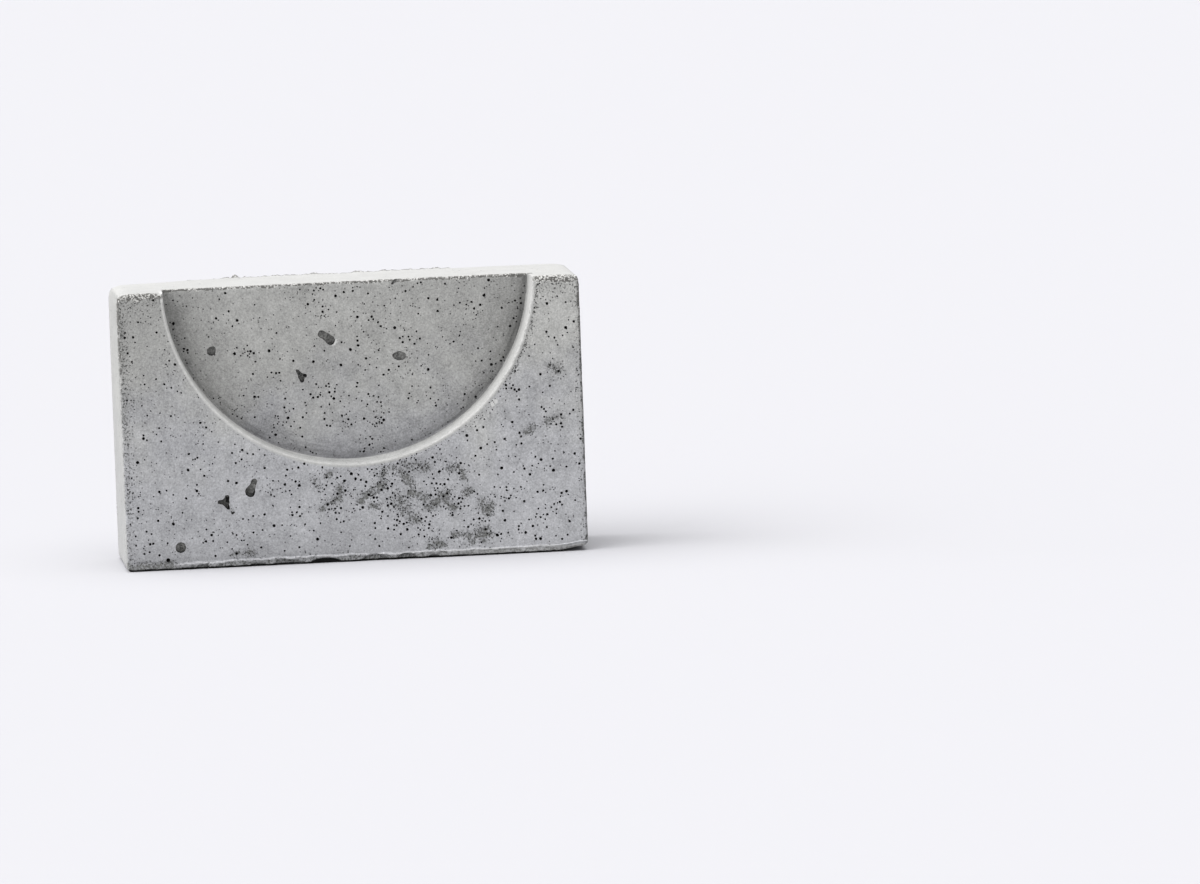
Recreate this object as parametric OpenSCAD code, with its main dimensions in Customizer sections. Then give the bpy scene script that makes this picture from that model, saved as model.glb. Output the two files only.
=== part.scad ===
// Breeze block: one solid casting in concrete, standing on its long edge.
// The front face carries a half-round pocket that is open at the top edge.
// Units are millimetres. +Z is up, the pocket faces -Y, and the origin is the
// middle of the underside.

/* [Block] */
// Length of the block from end to end
block_length = 250; // [215:1:320]
// Height of the block as it stands on its long edge
block_height = 150; // [125:1:220]
// Thickness of the block from front face to back face
block_thickness = 70; // [45:1:110]

/* [Pocket] */
// Radius of the half-round pocket at the front face, before its rim is eased
pocket_radius = 100; // [80:0.5:115]
// How far the centre of the half-round stands above the top face
pocket_centre_rise = 3; // [0:0.5:8]
// Depth of the pocket floor behind the front face
pocket_depth = 19; // [12:0.5:30]
// Slope of the pocket wall, so that the former draws out of the casting
pocket_draft = 3; // [1:0.5:8]
// Radius of the cove where the pocket wall meets the pocket floor
pocket_cove = 1; // [0.5:0.5:8]

/* [Arrises] */
// Rounding of the arrises round the front face
front_arris = 1.5; // [0.5:0.1:5]
// Rounding of the arrises round the back face
back_arris = 3; // [0.5:0.1:5]
// Rounding of the arrises between the ends and the top and underside
end_arris = 3; // [0.5:0.1:5]
// Rounding of the pocket rim
rim_arris = 1; // [0.5:0.1:3]

/* [Hidden] */
$fn = 96;

// Room by which a cutter passes a face it opens
lead = 2;
// Steps in which the former's rim and cove turn
arc_steps = 6;

half_length = block_length / 2;
half_thickness = block_thickness / 2;

// A rectangle from [x0, y0] to [x1, y1] whose corners are rounded by r1 at the
// y0 side and by r2 at the y1 side.
module eased_rectangle(x0, y0, x1, y1, r1, r2) {
    polygon([
        [x0 + r1, y0],
        [x1 - r1, y0],
        [x1, y0 + r1],
        [x1, y1 - r2],
        [x1 - r2, y1],
        [x0 + r2, y1],
        [x0, y1 - r2],
        [x0, y0 + r1]
    ]);
    translate([x0 + r1, y0 + r1]) circle(r = r1);
    translate([x1 - r1, y0 + r1]) circle(r = r1);
    translate([x0 + r2, y1 - r2]) circle(r = r2);
    translate([x1 - r2, y1 - r2]) circle(r = r2);
}

// The plain casting with every arris eased, before the pocket is taken out.
module eased_body() {
    intersection() {
        translate([0, 0, -lead])
            linear_extrude(height = block_height + 2 * lead)
                eased_rectangle(-half_length, -half_thickness,
                                half_length, half_thickness,
                                front_arris, back_arris);
        translate([-half_length - lead, 0, 0])
            rotate([90, 0, 90])
                linear_extrude(height = block_length + 2 * lead)
                    side_section();
        translate([0, half_thickness + lead, 0])
            rotate([90, 0, 0])
                linear_extrude(height = block_thickness + 2 * lead)
                    eased_rectangle(-half_length, 0, half_length, block_height,
                                    end_arris, end_arris);
    }
}

// The upright section from front (-) to back (+), eased at all four corners.
module side_section() {
    rotate([0, 0, -90])
        eased_rectangle(-block_height, -half_thickness, 0, half_thickness,
                        front_arris, back_arris);
}

// Radius at which the eased rim runs out on the front face
rim_u = pocket_radius + rim_arris / cos(pocket_draft) - rim_arris * tan(pocket_draft);
// Centre of the cove, where the sloping wall turns into the floor
cove_v = pocket_depth - pocket_cove;
cove_u = pocket_radius - cove_v * tan(pocket_draft) - pocket_cove / cos(pocket_draft);

// Points along an arc of radius r round [u, v], from one angle to the other.
function arc(u, v, r, from, to) = [
    for (k = [0 : arc_steps])
        let (angle = from + (to - from) * k / arc_steps)
            [u + r * cos(angle), v + r * sin(angle)]
];

// Half section of the former: u runs out from the axis, v runs into the block.
module former_section() {
    polygon(concat(
        [[0, -lead], [rim_u, -lead]],
        arc(rim_u, rim_arris, rim_arris, -90, pocket_draft - 180),
        arc(cove_u, cove_v, pocket_cove, pocket_draft, 90),
        [[0, pocket_depth]]
    ));
}

// The round former that leaves the pocket when it is drawn out to the front.
// Its section is turned once round, starting straight above the axis.
module pocket_former() {
    translate([0, -half_thickness, block_height + pocket_centre_rise])
        rotate([-90, 0, 0])
            rotate([0, 0, -90])
                rotate_extrude()
                    former_section();
}

module concrete_block() {
    color([0.64, 0.64, 0.645])
        difference() {
            eased_body();
            pocket_former();
        }
}

concrete_block();
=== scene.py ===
"""Dresses the breeze block: a solid concrete casting with a half-round pocket.

Sizes and places are in millimetres. Only what goes into a mesh, and the studio and
the camera, are in metres.
"""

import logging
import math
from dataclasses import dataclass, field
from enum import Enum
from typing import Any

import bmesh
import bpy
import numpy as np
from mathutils import Matrix, Vector
from mathutils.bvhtree import BVHTree


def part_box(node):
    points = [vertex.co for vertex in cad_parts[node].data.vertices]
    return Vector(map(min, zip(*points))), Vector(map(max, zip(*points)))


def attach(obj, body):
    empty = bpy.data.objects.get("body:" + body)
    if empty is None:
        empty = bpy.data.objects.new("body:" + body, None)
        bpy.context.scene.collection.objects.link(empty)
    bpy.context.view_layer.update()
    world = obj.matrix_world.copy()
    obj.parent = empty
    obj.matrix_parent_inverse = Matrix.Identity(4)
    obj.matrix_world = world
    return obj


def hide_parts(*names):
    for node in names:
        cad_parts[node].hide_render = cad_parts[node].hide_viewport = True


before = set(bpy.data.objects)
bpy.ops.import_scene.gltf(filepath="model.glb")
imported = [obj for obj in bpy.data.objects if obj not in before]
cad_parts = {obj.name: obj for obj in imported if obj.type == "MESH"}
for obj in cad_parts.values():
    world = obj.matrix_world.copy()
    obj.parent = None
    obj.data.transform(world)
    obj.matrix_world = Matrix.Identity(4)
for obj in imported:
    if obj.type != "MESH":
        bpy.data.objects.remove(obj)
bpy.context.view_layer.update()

logging.basicConfig(level=logging.INFO, format="%(message)s")
log = logging.getLogger("breeze_block")

MM = 0.001
NODE = "concrete_block"
PIECE = "worn_block"
CUTS = "cuts"
TONES = "tones"
HASH_STEPS = np.array([374761393, 668265263, 2147483647])
HASH_SEED = 974634777
HASH_MIX = 1274126177
HOLLOW_SIDES = 36
OPEN_ENOUGH = 0.42
MIX_FACTOR, MIX_FIRST, MIX_SECOND, MIX_RESULT = 0, 6, 7, 2

Array = np.ndarray
Colour = tuple[float, float, float, float]
Disc = tuple[float, float, float]


# --- Noise and mesh helpers --------------------------------------------------


def smooth_step(low: float | Array, high: float | Array, value: Array) -> Array:
    """Eases from 0 at low to 1 at high.

    Args:
        low: Where the result leaves 0. It may be above high.
        high: Where the result reaches 1.
        value: Values to ease.

    Returns:
        An array of the same shape, between 0 and 1.
    """
    t = np.clip((value - low) / (high - low), 0.0, 1.0)
    return t * t * (3.0 - 2.0 * t)


def lattice_noise(points: Array, size: float, seed: int) -> Array:
    """Smooth value noise on a cubic lattice.

    Args:
        points: Places, N by 3.
        size: Edge of one lattice cell.
        seed: Picks the pattern.

    Returns:
        N values between -1 and 1.
    """
    scaled = points / size + seed * 17.31
    cell = np.floor(scaled).astype(np.int64)
    part = scaled - cell
    part = part * part * (3.0 - 2.0 * part)
    total = np.zeros(len(points))
    for corner in range(8):
        step = np.array([corner & 1, corner >> 1 & 1, corner >> 2 & 1])
        mixed = ((cell + step) @ HASH_STEPS + seed * HASH_SEED) & 0xFFFFFFFF
        mixed = ((mixed ^ (mixed >> 13)) * HASH_MIX) & 0xFFFFFFFF
        mixed = mixed ^ (mixed >> 16)
        weight = np.where(step == 1, part, 1.0 - part).prod(axis=1)
        total += weight * (mixed / 2147483647.5 - 1.0)
    return total


def on_line(across: Array) -> Array:
    """Puts places on one line, so that noise read there only varies from left to right."""
    return np.stack([across, across * 0.0, across * 0.0], axis=1)


def read_vectors(items: Any, name: str) -> Array:
    """Reads one vector of each of a mesh's items.

    Args:
        items: The mesh's vertices, normals or faces.
        name: Which vector, such as the place.

    Returns:
        An N by 3 array.
    """
    flat = np.empty(len(items) * 3)
    items.foreach_get(name, flat)
    return flat.reshape(-1, 3)


def write_points(mesh: bpy.types.Mesh, places: Array) -> None:
    """Moves a mesh's vertices to places given in metres."""
    mesh.vertices.foreach_set("co", places.ravel())
    mesh.update()


def write_marks(mesh: bpy.types.Mesh, name: str, domain: str, colours: Array) -> None:
    """Writes one colour for each vertex or face corner."""
    marks = mesh.color_attributes.new(name, "FLOAT_COLOR", domain)
    marks.data.foreach_set("color", colours.ravel().astype(np.float32))


def nearest_finder(mesh: bpy.types.Mesh) -> BVHTree:
    """Makes the tree that finds the nearest point of a mesh's surface."""
    places = [v.co[:] for v in mesh.vertices]
    return BVHTree.FromPolygons(places, [p.vertices[:] for p in mesh.polygons])


def put_in_scene(name: str, data: bpy.types.ID) -> bpy.types.Object:
    """Makes an object of the data and links it to the scene.

    Args:
        name: The object's name.
        data: A mesh, a lamp or a camera.

    Returns:
        The new object.
    """
    thing = bpy.data.objects.new(name, data)
    bpy.context.scene.collection.objects.link(thing)
    return thing


def take_result(thing: bpy.types.Object) -> bpy.types.Mesh:
    """Applies an object's modifiers to a new mesh and removes the object.

    Args:
        thing: The object, which is gone afterwards.

    Returns:
        The new mesh.
    """
    graph = bpy.context.evaluated_depsgraph_get()
    mesh = bpy.data.meshes.new_from_object(thing.evaluated_get(graph))
    bpy.data.objects.remove(thing)
    return mesh


def cut(mesh: bpy.types.Mesh, tool: bpy.types.Mesh) -> bpy.types.Mesh:
    """Cuts one closed mesh with another.

    Args:
        mesh: The mesh to cut.
        tool: The mesh of cups that are cut out of it.

    Returns:
        The resulting mesh.
    """
    solid = put_in_scene("solid", mesh)
    cutter = put_in_scene("cutter", tool)
    step = solid.modifiers.new("cut", "BOOLEAN")
    step.operation = "DIFFERENCE"
    step.solver = "MANIFOLD"
    step.object = cutter
    result = take_result(solid)
    bpy.data.objects.remove(cutter)
    return result


# --- What the casting shows --------------------------------------------------


class Side(Enum):
    """A flat side, with the right, the up and the outward direction of who faces it."""

    FRONT = ("front", (1, 0, 0), (0, 0, 1), (0, -1, 0))
    BACK = ("back", (-1, 0, 0), (0, 0, 1), (0, 1, 0))
    LEFT = ("left", (0, -1, 0), (0, 0, 1), (-1, 0, 0))
    RIGHT = ("right", (0, 1, 0), (0, 0, 1), (1, 0, 0))
    TOP = ("top", (1, 0, 0), (0, 1, 0), (0, 0, 1))
    UNDERSIDE = ("underside", (1, 0, 0), (0, -1, 0), (0, 0, -1))
    POCKET_FLOOR = ("pocket floor", (1, 0, 0), (0, 0, 1), (0, -1, 0))

    @property
    def title(self) -> str:
        """The side's name in plain words."""
        return self.value[0]

    @property
    def axes(self) -> Array:
        """The three directions as the rows of an array."""
        return np.array(self.value[1:], float)

    @property
    def is_end(self) -> bool:
        """Whether the side is one of the two narrow ends."""
        return self in (Side.LEFT, Side.RIGHT)

    @property
    def is_level(self) -> bool:
        """Whether the side faces straight up or down."""
        return self in (Side.TOP, Side.UNDERSIDE)


@dataclass(frozen=True)
class Pocket:
    """The half-round pocket, as the former leaves it."""

    rim_radius: float = 100.9
    root_radius: float = 99.0
    centre_rise: float = 3.0
    depth: float = 19.0


@dataclass(frozen=True)
class Hollow:
    """One hole in the skin, cut as a cup with a steep rim.

    Its outline is that of its lobes laid over each other: each lobe is a disc,
    given by how far it stands to the right and up, and its radius. A pit is a
    disc of the same kind in which the hole is too deep to see into.
    """

    side: Side
    across: float
    up: float
    lobes: tuple[Disc, ...]
    depth: float
    pits: tuple[Disc, ...] = ()

    def outline(self) -> Array:
        """Lays the lobes over each other.

        Returns:
            The outline's distance from the first lobe's middle at even angles.
        """
        angle = np.arange(HOLLOW_SIDES) * (2.0 * math.pi / HOLLOW_SIDES)
        ray = np.stack([np.cos(angle), np.sin(angle)], axis=1)
        reach = np.zeros(HOLLOW_SIDES)
        for right, up, radius in self.lobes:
            along = ray @ np.array([right, up])
            inside = radius**2 - right**2 - up**2 + along**2
            exit_at = along + np.sqrt(np.maximum(inside, 0.0))
            reach = np.where(inside > 0, np.maximum(reach, exit_at), reach)
        return (np.roll(reach, 1) + 2.0 * reach + np.roll(reach, -1)) / 4.0


@dataclass(frozen=True)
class Stroke:
    """A stretch of the front where the cement skin is missing."""

    start: tuple[float, float]
    end: tuple[float, float]
    radius: float
    strength: float = 1.0

    def cover(self, points: Array) -> Array:
        """Says how far the skin is missing.

        Args:
            points: Places, N by 3.

        Returns:
            N shares, the full strength along the stroke's middle.
        """
        flat = points[:, [0, 2]] - self.start
        run = np.subtract(self.end, self.start)
        along = np.clip(flat @ run / (run @ run), 0.0, 1.0)
        away = np.linalg.norm(flat - along[:, None] * run, axis=1)
        core = self.strength * smooth_step(2.2 * self.radius, 0.5 * self.radius, away)
        fringe = 0.46 * smooth_step(self.radius + 4.8, self.radius, away)
        return np.maximum(core, fringe)


@dataclass(frozen=True)
class Chip:
    """A piece broken out of the skirt along the front's lower arris."""

    across: float
    half_width: float
    height: float

    def inside(self, points: Array) -> Array:
        """Says how far each point lies inside the chip.

        Args:
            points: Places, N by 3.

        Returns:
            N shares, from 0 outside to 1.
        """
        x, _, z = points.T
        away = np.hypot((x - self.across) / self.half_width, z / self.height)
        return smooth_step(1.05, 0.85, away)


@dataclass(frozen=True)
class Skirt:
    """The ragged ledge that grout has left along the foot of the front.

    It begins near the left corner, and is more ragged there than at the right.
    """

    level: float = 3.9
    thickness: float = 0.75
    start: float = -104.0
    full_from: float = -92.0
    ragged_until: float = 10.0
    even_from: float = 40.0

    def height(self, across: Array) -> Array:
        """How high the skirt reaches.

        Args:
            across: N places from left to right.

        Returns:
            N heights.
        """
        line = on_line(across)
        ragged = smooth_step(self.even_from, self.ragged_until, across)
        height = self.level + 0.5 * lattice_noise(line, 21.0, 21)
        height += (0.25 + 0.55 * ragged) * lattice_noise(line, 6.3, 22)
        return height + (0.08 + 0.2 * ragged) * lattice_noise(line, 2.1, 23)

    def proud(self, points: Array) -> Array:
        """How far the skirt stands out of the front.

        Args:
            points: Places, N by 3.

        Returns:
            N distances, below 0 in the chips.
        """
        across, _, rise = points.T
        height = self.height(across)
        proud = self.thickness * smooth_step(self.start, self.full_from, across)
        proud *= smooth_step(height + 0.3, height - 0.3, rise)
        proud *= 1.0 - 0.55 * smooth_step(height - 0.4, height - 2.0, rise)
        proud *= 0.9 + 0.35 * lattice_noise(points, 1.7, 24) + 0.25 * lattice_noise(points, 1.0, 25)
        for chip in CHIPS:
            gone = chip.inside(points)
            proud = proud * (1.0 - gone) - gone
        return proud


@dataclass(frozen=True)
class Burr:
    """The crumbly fin of grout near the back of the top, with one lump on it."""

    start: float = -90.0
    end: float = 62.0
    tall_from: float = -56.0
    setback: float = 2.6
    half_width: float = 0.7
    lump_across: float = -55.6
    lump_size: tuple[float, float, float] = (2.1, 1.6, 2.1)

    def height(self, places: Array) -> Array:
        """How far the burr and its lump stand up.

        Args:
            places: N by 3, counted from the middle of the top's back arris.

        Returns:
            N heights.
        """
        across, inward, rise = places.T
        line = on_line(across)
        crumbs = np.maximum(lattice_noise(line, 3.4, 31) + 0.05, 0.0)
        crumbs += 0.5 * np.maximum(lattice_noise(line, 1.3, 32), 0.0)
        depth = inward + self.setback
        burr = 0.25 + 0.3 * smooth_step(self.tall_from, self.tall_from + 8.0, across)
        burr = (burr + 1.15 * crumbs) * np.exp(-((depth / self.half_width) ** 2))
        burr *= smooth_step(self.start, self.start + 10.0, across)
        burr *= smooth_step(self.end, self.end - 2.0, across)
        wide, deep, high = self.lump_size
        away = np.hypot((across - self.lump_across) / wide, depth / deep)
        lump = high * np.sqrt(1.0 - np.minimum(away, 1.0) ** 2)
        return smooth_step(-self.setback, -0.8, rise) * np.maximum(burr, lump)


@dataclass(frozen=True)
class PoreField:
    """How the pores of one side are strewn."""

    side: Side
    tries: int
    cluster: float
    radius: float = 0.46


LARGE_HOLLOWS = (
    Hollow(Side.POCKET_FLOOR, -73.6, 115.5, ((0, 0, 2.4), (0.7, 0.9, 1.8)), 1.7),
    Hollow(
        Side.POCKET_FLOOR, -11.0, 120.4,
        ((0, 0, 2.3), (-2.6, 1.6, 2.2), (2.0, -1.9, 2.6)), 1.5,
    ),
    Hollow(
        Side.POCKET_FLOOR, 27.9, 108.4,
        ((0, 0, 2.6), (-1.8, 0.1, 1.8), (1.8, -0.2, 2.0), (-3.1, 0.2, 0.8), (3.2, 0, 0.8)), 1.3,
    ),
    Hollow(
        Side.POCKET_FLOOR, -25.4, 99.6,
        ((0, 0, 1.9), (0.2, -2.0, 1.3), (-1.3, 1.9, 1.2), (-2.5, 3.6, 0.9), (1.9, 0.3, 1.1)), 2.1,
        ((2.0, 0.5, 0.95),),
    ),
    Hollow(
        Side.FRONT, -55.6, 43.5,
        ((0, 0, 1.8), (-1.5, -2.9, 2.8), (-1.0, -4.0, 2.1), (1.0, 2.4, 1.8), (-0.5, -1.0, 2.0)),
        1.6,
    ),
    Hollow(
        Side.FRONT, -70.4, 35.6,
        ((0, 0, 2.1), (0.9, 2.4, 1.4), (-3.2, 0.1, 1.3), (0.6, -2.4, 1.2), (1.7, -4.0, 0.8)), 2.4,
        ((1.2, 0.4, 1.0), (1.3, 1.9, 0.8)),
    ),
    Hollow(Side.FRONT, -67.0, 29.4, ((0, 0, 0.7), (0.8, 0.4, 0.6)), 1.6),
    Hollow(Side.FRONT, -95.6, 12.0, ((0, 0, 2.8), (0.2, 0.3, 2.7)), 1.6),
    Hollow(Side.FRONT, -102.6, 5.6, ((0, 0, 1.1),), 2.2, ((0, 0, 1.2),)),
    Hollow(
        Side.POCKET_FLOOR, 27.2, 149.3, ((0, 0, 1.2), (-1.6, -1.5, 0.8), (1.5, 0.2, 0.8)), 0.8
    ),
)
STROKES = (
    Stroke((-13, 48.5), (-15.5, 47), 0.9),
    Stroke((-21, 42.5), (-21.5, 46), 0.9),
    Stroke((-18.5, 29.5), (-14.5, 33), 1.1),
    Stroke((-14.5, 33), (-9.5, 34), 1.4),
    Stroke((-9.5, 34), (-7.5, 41), 0.9),
    Stroke((3, 33), (8.5, 37.5), 1.6),
    Stroke((8.5, 37.5), (15.5, 40.5), 2.3),
    Stroke((13, 41), (17, 51), 1.4, 0.8),
    Stroke((8, 29.5), (12, 30), 1.6),
    Stroke((18, 51), (39, 50), 2.4, 0.7),
    Stroke((25, 48), (32, 35), 2.0, 0.9),
    Stroke((22, 33), (31, 23), 3.8, 0.72),
    Stroke((31, 23), (33.5, 20.5), 1.4, 0.9),
    Stroke((30, 35), (37, 32), 1.9),
    Stroke((39.5, 28), (44, 31), 2.2),
    Stroke((44, 31), (49, 34.5), 1.9),
    Stroke((49.5, 30.5), (53, 26), 2.0),
    Stroke((51, 48), (55.5, 48), 1.8),
    Stroke((57.5, 46), (59, 43), 1.2),
    Stroke((59, 33.5), (62, 35.5), 1.4),
    Stroke((68.5, 27.5), (71.5, 25.5), 3.4, 0.9),
    Stroke((66, 12.5), (70.5, 12.5), 2.4),
    Stroke((53, 11.5), (60.5, 11.5), 1.7),
    Stroke((39, 6.8), (47, 7.2), 1.7),
    Stroke((59, 7), (68, 7.5), 1.3, 0.8),
    Stroke((109, 100.5), (114, 99), 1.6, 0.85),
    Stroke((105, 70.5), (112.5, 73.5), 1.6, 0.8),
    Stroke((93, 66.5), (96, 68), 1.6, 0.8),
    Stroke((-68.5, 6.8), (-56, 7.2), 1.1, 0.85),
)
# The deepest chip, whose hollow is painted black as shade.
BLACK_CHIP = Chip(-17.5, 9.0, 3.0)
CHIPS = (
    BLACK_CHIP,
    Chip(-38.0, 8.0, 3.1),
    Chip(-54.0, 5.0, 1.8),
    Chip(-84.0, 4.0, 2.6),
    Chip(9.5, 8.0, 3.7),
    Chip(26.5, 6.0, 3.5),
    Chip(41.0, 3.5, 2.0),
)
SCUFFS = ((75.9, -35.0, 81.7), (76.8, -35.0, 83.2), (-7.3, -16.0, 116.9), (-6.4, -16.0, 117.9))
RUSTY_PLACE = (-96.5, -26.0, 148.5)
PORE_FIELDS = (
    PoreField(Side.FRONT, 1760, 0.28, 0.62),
    PoreField(Side.POCKET_FLOOR, 960, 0.36, 0.6),
    PoreField(Side.BACK, 420, 0.4),
    PoreField(Side.LEFT, 70, 0.3, 0.36),
    PoreField(Side.RIGHT, 120, 0.3),
    PoreField(Side.TOP, 40, 0.2, 0.3),
    PoreField(Side.UNDERSIDE, 90, 0.3),
)


# --- The casting's shape -----------------------------------------------------


@dataclass
class Casting:
    """The concrete block as cast: worn arrises, grit, a skirt and a burr.

    The low and the high corner are in metres, as the frame gives them. The mesh has
    fine, plain and coarse edges at the three distances from an arris that bands
    gives, and torn ones where the skin is missing. An edge is split when it is
    longer than that by the slack.
    """

    low: Vector
    high: Vector
    pocket: Pocket = Pocket()
    skirt: Skirt = Skirt()
    burr: Burr = Burr()
    coarse: float = 3.2
    plain: float = 0.95
    fine: float = 0.5
    torn: float = 1.15
    bands: tuple[float, float, float] = (0.9, 2.2, 6.0)
    slack: float = 1.4
    rounds: int = 5

    def __post_init__(self) -> None:
        """Works out the planes that the rest refers to."""
        self.front = self.low.y / MM
        self.back = self.high.y / MM
        self.top = self.high.z / MM
        self.half = self.high.x / MM
        self.floor = self.front + self.pocket.depth
        self.axis_z = self.top + self.pocket.centre_rise
        self.reach = {
            Side.FRONT: -self.front,
            Side.BACK: self.back,
            Side.LEFT: self.half,
            Side.RIGHT: self.half,
            Side.TOP: self.top,
            Side.UNDERSIDE: 0.0,
            Side.POCKET_FLOOR: -self.floor,
        }

    def place_on(self, side: Side, across: float, up: float) -> Array:
        """Gives the point that lies across and up on a side, seen from outside."""
        return np.array([across, up, self.reach[side]]) @ side.axes

    # Distances, all of N by 3 places.

    def from_axis(self, points: Array) -> Array:
        """Gives each point's distance from the pocket's axis."""
        return np.hypot(points[:, 0], points[:, 2] - self.axis_z)

    def ring_distance(self, points: Array, radius: float, inward: float) -> Array:
        """Gives each point's distance from a ring round the pocket's axis."""
        return np.hypot(self.from_axis(points) - radius, points[:, 1] - inward)

    def rim_distance(self, points: Array) -> Array:
        """Gives each point's distance from the pocket's rim, on its curved part."""
        return self.ring_distance(points, self.pocket.rim_radius, self.front)

    def lip_distance(self, points: Array) -> Array:
        """Gives each point's distance from the pocket floor's edge at the top."""
        beyond = np.maximum(np.abs(points[:, 0]) - self.pocket.root_radius, 0.0)
        return np.hypot(beyond, np.hypot(points[:, 1] - self.floor, points[:, 2] - self.top))

    def shoulder_distance(self, points: Array) -> Array:
        """Gives each point's distance from where the pocket wall meets the top.

        Args:
            points: Places, N by 3.

        Returns:
            N distances.
        """
        aside = np.abs(np.abs(points[:, 0]) - self.pocket.root_radius - 0.6)
        return np.hypot(
            np.hypot(aside, points[:, 2] - self.top), np.maximum(points[:, 1] - self.floor, 0.0)
        )

    def ledge_distance(self, points: Array) -> Array:
        """Gives each point's distance from the upper line of the skirt."""
        rise = points[:, 2] - self.skirt.height(points[:, 0])
        return np.hypot(rise, points[:, 1] - self.front)

    def outer_distance(self, points: Array) -> Array:
        """Gives each surface point's distance from the nearest outer arris.

        Args:
            points: Places on the surface, N by 3.

        Returns:
            N distances.
        """
        x, y, z = points.T
        planes = [x + self.half, self.half - x, y - self.front, self.back - y, z, self.top - z]
        return np.sort(np.abs(planes), axis=0)[1]

    def at_front(self, points: Array, outer: float, inner: float) -> Array:
        """Eases from 0 at one depth behind the front to 1 at a lesser one."""
        return smooth_step(self.front + outer, self.front + inner, points[:, 1])

    # The mesh.

    def wanted_size(self, points: Array) -> Array:
        """How long an edge of the mesh may be, fine at arrises and coarse elsewhere.

        Args:
            points: Places on or near the surface, N by 3.

        Returns:
            N lengths.
        """
        lines = [
            self.rim_distance(points),
            self.ring_distance(points, self.pocket.root_radius, self.floor),
            self.lip_distance(points),
            self.shoulder_distance(points),
            self.ledge_distance(points),
        ]
        sizes = [self.fine, self.plain, self.coarse]
        size = np.interp(np.min(lines, axis=0), self.bands, sizes)
        burr = (points[:, 1] > self.back - 5.0) & (points[:, 2] > self.top - 2.0)
        close = np.where((points[:, 1] < self.front + 3.0) | burr, self.fine, self.plain)
        ramp = np.clip((self.outer_distance(points) - 1.9) / 4.0, 0.0, 1.0)
        size = np.minimum(size, close + ramp * (self.coarse - close))
        return np.where(self.cover(points) > OPEN_ENOUGH, np.minimum(size, self.torn), size)

    def coarse_mesh(self, node: bpy.types.Object) -> bpy.types.Mesh:
        """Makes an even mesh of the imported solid.

        Args:
            node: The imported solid, which stays as it is.

        Returns:
            A new mesh with faces of about the coarse size.
        """
        copy = put_in_scene("even", node.data.copy())
        remesh = copy.modifiers.new("even", "REMESH")
        remesh.mode = "VOXEL"
        remesh.voxel_size = self.coarse * MM
        return take_result(copy)

    def split(self, mesh: bpy.types.Mesh) -> bool:
        """Halves every edge that is longer than it may be there.

        Args:
            mesh: The mesh to change.

        Returns:
            Whether any edge was split.
        """
        shape = bmesh.new()
        shape.from_mesh(mesh)
        edges = list(shape.edges)
        ends = np.array([[v.co[:] for v in edge.verts] for edge in edges]) / MM
        length = np.linalg.norm(ends[:, 0] - ends[:, 1], axis=1)
        chosen = np.nonzero(length > self.slack * self.wanted_size(ends.mean(axis=1)))[0]
        if len(chosen):
            bmesh.ops.subdivide_edges(
                shape, edges=[edges[k] for k in chosen], cuts=1, use_grid_fill=True
            )
            bmesh.ops.triangulate(shape, faces=[f for f in shape.faces if len(f.verts) > 4])
            shape.to_mesh(mesh)
        shape.free()
        return bool(len(chosen))

    def settle(self, mesh: bpy.types.Mesh, finder: BVHTree) -> None:
        """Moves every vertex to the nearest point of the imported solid's surface."""
        places = [finder.find_nearest(v.co)[0][:] for v in mesh.vertices]
        write_points(mesh, np.array(places))

    def fitted_mesh(self, node: bpy.types.Object) -> bpy.types.Mesh:
        """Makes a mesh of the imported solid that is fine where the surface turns.

        Args:
            node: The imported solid, which stays as it is.

        Returns:
            A new mesh on the solid's surface.
        """
        finder = nearest_finder(node.data)
        mesh = self.coarse_mesh(node)
        self.settle(mesh, finder)
        for _ in range(self.rounds):
            if not self.split(mesh):
                break
            self.settle(mesh, finder)
        shape = bmesh.new()
        shape.from_mesh(mesh)
        bmesh.ops.triangulate(shape, faces=shape.faces)
        shape.to_mesh(mesh)
        shape.free()
        return mesh

    # Wear, all for N by 3 places.

    def wear(self, mesh: bpy.types.Mesh) -> None:
        """Gives the surface its waves, its crumbled arrises and its burrs.

        Args:
            mesh: The mesh to change.
        """
        points = read_vectors(mesh.vertices, "co") / MM
        normals = read_vectors(mesh.vertex_normals, "vector")
        wave = 0.14 * lattice_noise(points, 46.0, 3) + 0.05 * lattice_noise(points, 13.0, 5)
        calm = 1.0 - 0.6 * smooth_step(6.0, 0.0, points[:, 2])
        scoured = smooth_step(0.45, 0.8, self.open_ground(points))
        pitted = scoured * (0.14 + 0.2 * lattice_noise(points, 1.9, 16))
        worn = wave * calm - self.crumble(points) - self.rounding(points) - pitted
        worn_points = points + normals * worn[:, None]
        worn_points[:, 1] -= self.skirt.proud(points) * self.at_front(points, 2.2, 0.8)
        worn_points[:, 2] += self.fin(points) + self.lifted_corner(points) - self.droop(points)
        worn_points[:, 2] = np.maximum(worn_points[:, 2], 0.0)
        write_points(mesh, worn_points * MM)

    def cover(self, points: Array) -> Array:
        """Says how far the strokes reach over the front, from 0 to 1."""
        total = np.max([stroke.cover(points) for stroke in STROKES], axis=0)
        return total * self.at_front(points, 3.0, 1.0)

    def open_ground(self, points: Array) -> Array:
        """How far the cement skin is missing, with ragged edges.

        Args:
            points: Places, N by 3.

        Returns:
            N shares, highest in the strokes, at worn edges and in the skirt's chips.
        """
        aside, upward = (1.3 * lattice_noise(points, 3.1, seed) for seed in (51, 52))
        warped = points + np.stack([aside, np.zeros_like(aside), upward], axis=1)
        ragged = self.cover(warped) * (0.86 + 0.34 * lattice_noise(points, 2.3, 53))
        chips = np.max([chip.inside(points) for chip in CHIPS], axis=0)
        missing = np.max([ragged, self.edge_wear(warped), 0.8 * chips], axis=0)
        return np.clip(missing * self.at_front(points, 3.0, 1.0), 0.0, 1.0)

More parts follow.
